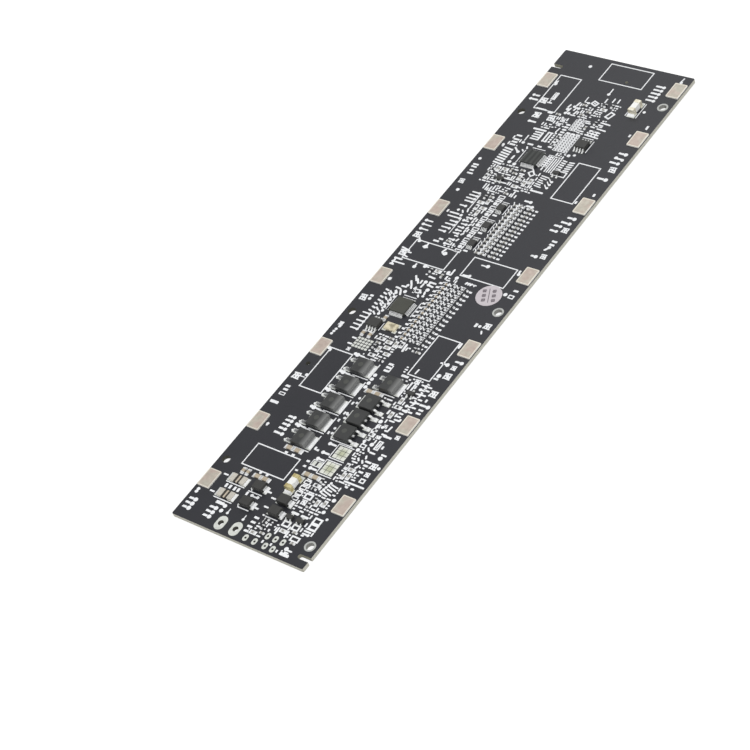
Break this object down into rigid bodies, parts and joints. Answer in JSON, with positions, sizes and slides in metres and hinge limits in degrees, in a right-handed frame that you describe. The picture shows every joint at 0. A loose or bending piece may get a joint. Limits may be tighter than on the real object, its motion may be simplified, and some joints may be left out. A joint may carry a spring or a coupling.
{
  "type": "battery management board",
  "caption": "Long black circuit board with weld tabs along both edges, power transistors, processors, shunts, fuses and balancing arrays on its top face.",
  "frame": {"origin": "middle of the underside of the board, so the lowest face lies on Z = 0", "axes": "+X across the board, +Y along it from the wire end to the far end, +Z out of the fitted face"},
  "size_m": [0.06, 0.256, 0.0043],
  "materials": {
    "solder_mask": "satin black solder mask over glass-epoxy laminate",
    "tab_nickel": "satin nickel strip",
    "moulded_package": "matte black moulding compound",
    "tinned_metal": "matte tin plate",
    "resistor_coat": "dark glaze",
    "white_ceramic": "glossy white ceramic",
    "gold_plate": "bright gold plate",
    "tan_ceramic": "matte tan ceramic",
    "sticker_paper": "matte off-white paper"
  },
  "bodies": {
    "root": {"circuit_board": "solder_mask", "cell_tab_01": "tab_nickel", "cell_tab_02": "tab_nickel", "cell_tab_03": "tab_nickel", "cell_tab_04": "tab_nickel", "cell_tab_05": "tab_nickel", "cell_tab_06": "tab_nickel", "cell_tab_07": "tab_nickel", "cell_tab_08": "tab_nickel", "cell_tab_09": "tab_nickel", "cell_tab_10": "tab_nickel", "cell_tab_11": "tab_nickel", "cell_tab_12": "tab_nickel", "cell_tab_13": "tab_nickel", "cell_tab_14": "tab_nickel", "mosfet_1_body": "moulded_package", "mosfet_2_body": "moulded_package", "mosfet_3_body": "moulded_package", "mosfet_4_body": "moulded_package", "mosfet_5_body": "moulded_package", "mosfet_6_body": "moulded_package", "mosfet_7_body": "moulded_package", "mosfet_8_body": "moulded_package", "mosfet_9_body": "moulded_package", "mosfet_1_frame": "tinned_metal", "mosfet_2_frame": "tinned_metal", "mosfet_3_frame": "tinned_metal", "mosfet_4_frame": "tinned_metal", "mosfet_5_frame": "tinned_metal", "mosfet_6_frame": "tinned_metal", "mosfet_7_frame": "tinned_metal", "mosfet_8_frame": "tinned_metal", "mosfet_9_frame": "tinned_metal", "processor_1_body": "moulded_package", "processor_2_body": "moulded_package", "processor_leads": "tinned_metal", "driver_bodies": "moulded_package", "driver_leads": "tinned_metal", "monitor_bodies": "moulded_package", "monitor_leads": "tinned_metal", "transistor_bodies": "moulded_package", "transistor_leads": "tinned_metal", "diode_bodies": "moulded_package", "diode_straps": "tinned_metal", "shunt_elements": "resistor_coat", "shunt_terminals": "tinned_metal", "fuse_1_barrel": "white_ceramic", "fuse_1_caps": "gold_plate", "fuse_2_barrel": "white_ceramic", "fuse_2_caps": "tinned_metal", "crystal_base": "tan_ceramic", "crystal_lid": "tan_ceramic", "inspection_sticker": "sticker_paper", "mounting_rings": "tinned_metal", "power_wire_lands": "tinned_metal", "chip_resistors": "resistor_coat", "chip_capacitors": "tan_ceramic", "chip_terminals": "tinned_metal"}
  },
  "joints": []
}
